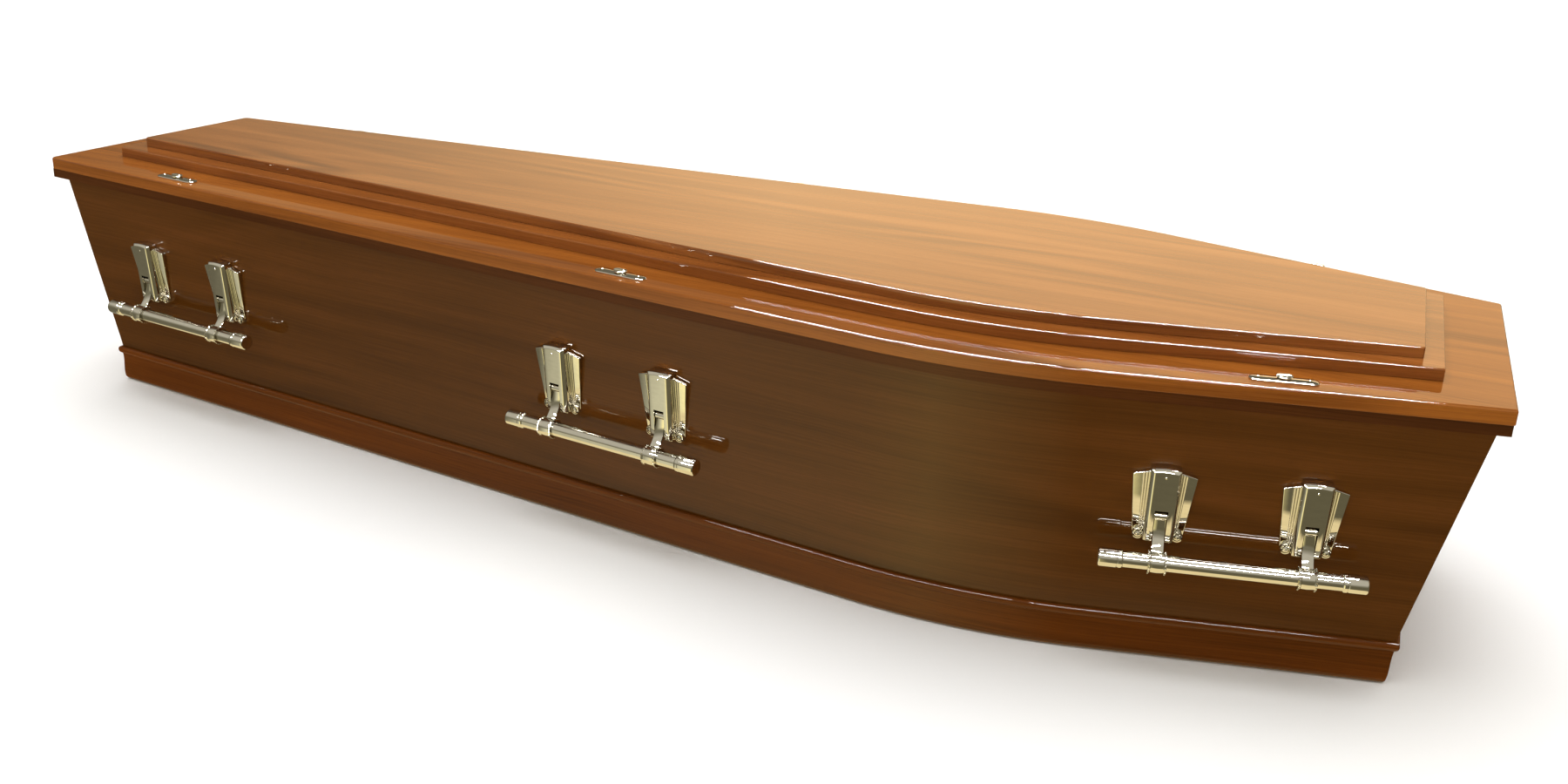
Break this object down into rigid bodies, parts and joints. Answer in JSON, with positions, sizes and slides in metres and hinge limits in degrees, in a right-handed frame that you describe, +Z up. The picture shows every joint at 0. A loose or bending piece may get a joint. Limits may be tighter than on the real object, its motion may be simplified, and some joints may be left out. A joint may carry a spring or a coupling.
{
  "type": "coffin",
  "caption": "Wooden coffin with curved shoulders, a stepped lid held by thumb screws, a beaded base moulding and swinging bar handles along both sides",
  "frame": {"origin": "middle of the underside, half way along the lid, on the surface that the coffin stands on", "axes": "+X runs from the foot end to the head end, +Z is up, and the side at -Y is called left"},
  "size_m": [1.95, 0.6166, 0.3622],
  "materials": {
    "box_veneer": "dark red-brown wood veneer under clear high-gloss lacquer",
    "lid_veneer": "red-brown wood veneer under clear high-gloss lacquer, grain lengthwise",
    "tier_veneer": "red-brown wood veneer under clear high-gloss lacquer, grain lengthwise",
    "trim_wood": "moulded wood stained red-brown under clear high-gloss lacquer",
    "chrome": "bright plated metal"
  },
  "bodies": {
    "coffin_body": {"floor_board": "box_veneer", "side_board_left": "box_veneer", "side_board_right": "box_veneer", "head_board": "box_veneer", "foot_board": "box_veneer", "base_moulding_left": "trim_wood", "lid_strip_left": "trim_wood", "base_moulding_right": "trim_wood", "lid_strip_right": "trim_wood", "base_moulding_head": "trim_wood", "lid_strip_head": "trim_wood", "base_moulding_foot": "trim_wood", "lid_strip_foot": "trim_wood", "lid_board": "lid_veneer", "lid_lower_tier": "tier_veneer", "lid_upper_tier": "tier_veneer", "screw_plate_left_head": "chrome", "thumb_screw_left_head": "chrome", "handle_plate_left_head_1": "chrome", "handle_plate_left_head_2": "chrome", "screw_plate_left_middle": "chrome", "thumb_screw_left_middle": "chrome", "handle_plate_left_middle_1": "chrome", "handle_plate_left_middle_2": "chrome", "screw_plate_left_foot": "chrome", "thumb_screw_left_foot": "chrome", "handle_plate_left_foot_1": "chrome", "handle_plate_left_foot_2": "chrome", "screw_plate_right_head": "chrome", "thumb_screw_right_head": "chrome", "handle_plate_right_head_1": "chrome", "handle_plate_right_head_2": "chrome", "screw_plate_right_middle": "chrome", "thumb_screw_right_middle": "chrome", "handle_plate_right_middle_1": "chrome", "handle_plate_right_middle_2": "chrome", "screw_plate_right_foot": "chrome", "thumb_screw_right_foot": "chrome", "handle_plate_right_foot_1": "chrome", "handle_plate_right_foot_2": "chrome"},
    "handle_left_head": {"handle_arm_left_head_1": "chrome", "handle_arm_left_head_2": "chrome", "handle_bar_left_head": "chrome"},
    "handle_left_middle": {"handle_arm_left_middle_1": "chrome", "handle_arm_left_middle_2": "chrome", "handle_bar_left_middle": "chrome"},
    "handle_left_foot": {"handle_arm_left_foot_1": "chrome", "handle_arm_left_foot_2": "chrome", "handle_bar_left_foot": "chrome"},
    "handle_right_head": {"handle_arm_right_head_1": "chrome", "handle_arm_right_head_2": "chrome", "handle_bar_right_head": "chrome"},
    "handle_right_middle": {"handle_arm_right_middle_1": "chrome", "handle_arm_right_middle_2": "chrome", "handle_bar_right_middle": "chrome"},
    "handle_right_foot": {"handle_arm_right_foot_1": "chrome", "handle_arm_right_foot_2": "chrome", "handle_bar_right_foot": "chrome"}
  },
  "joints": [
    {"name": "handle_hinge_left_head", "type": "hinge", "parent": "coffin_body", "child": "handle_left_head", "pos_m": [0.73037, -0.23669, 0.17773], "axis": [-0.9713, -0.2377, 0], "range_deg": [0, 90]},
    {"name": "handle_hinge_left_middle", "type": "hinge", "parent": "coffin_body", "child": "handle_left_middle", "pos_m": [-0.00245, -0.25983, 0.17773], "axis": [-0.9955, 0.0948, 0], "range_deg": [0, 90]},
    {"name": "handle_hinge_left_foot", "type": "hinge", "parent": "coffin_body", "child": "handle_left_foot", "pos_m": [-0.73194, -0.19034, 0.17773], "axis": [-0.9955, 0.0948, 0], "range_deg": [0, 90]},
    {"name": "handle_hinge_right_head", "type": "hinge", "parent": "coffin_body", "child": "handle_right_head", "pos_m": [0.73037, 0.23669, 0.17773], "axis": [0.9713, -0.2377, 0], "range_deg": [0, 90]},
    {"name": "handle_hinge_right_middle", "type": "hinge", "parent": "coffin_body", "child": "handle_right_middle", "pos_m": [-0.00245, 0.25983, 0.17773], "axis": [0.9955, 0.0948, 0], "range_deg": [0, 90]},
    {"name": "handle_hinge_right_foot", "type": "hinge", "parent": "coffin_body", "child": "handle_right_foot", "pos_m": [-0.73194, 0.19034, 0.17773], "axis": [0.9955, 0.0948, 0], "range_deg": [0, 90]}
  ]
}
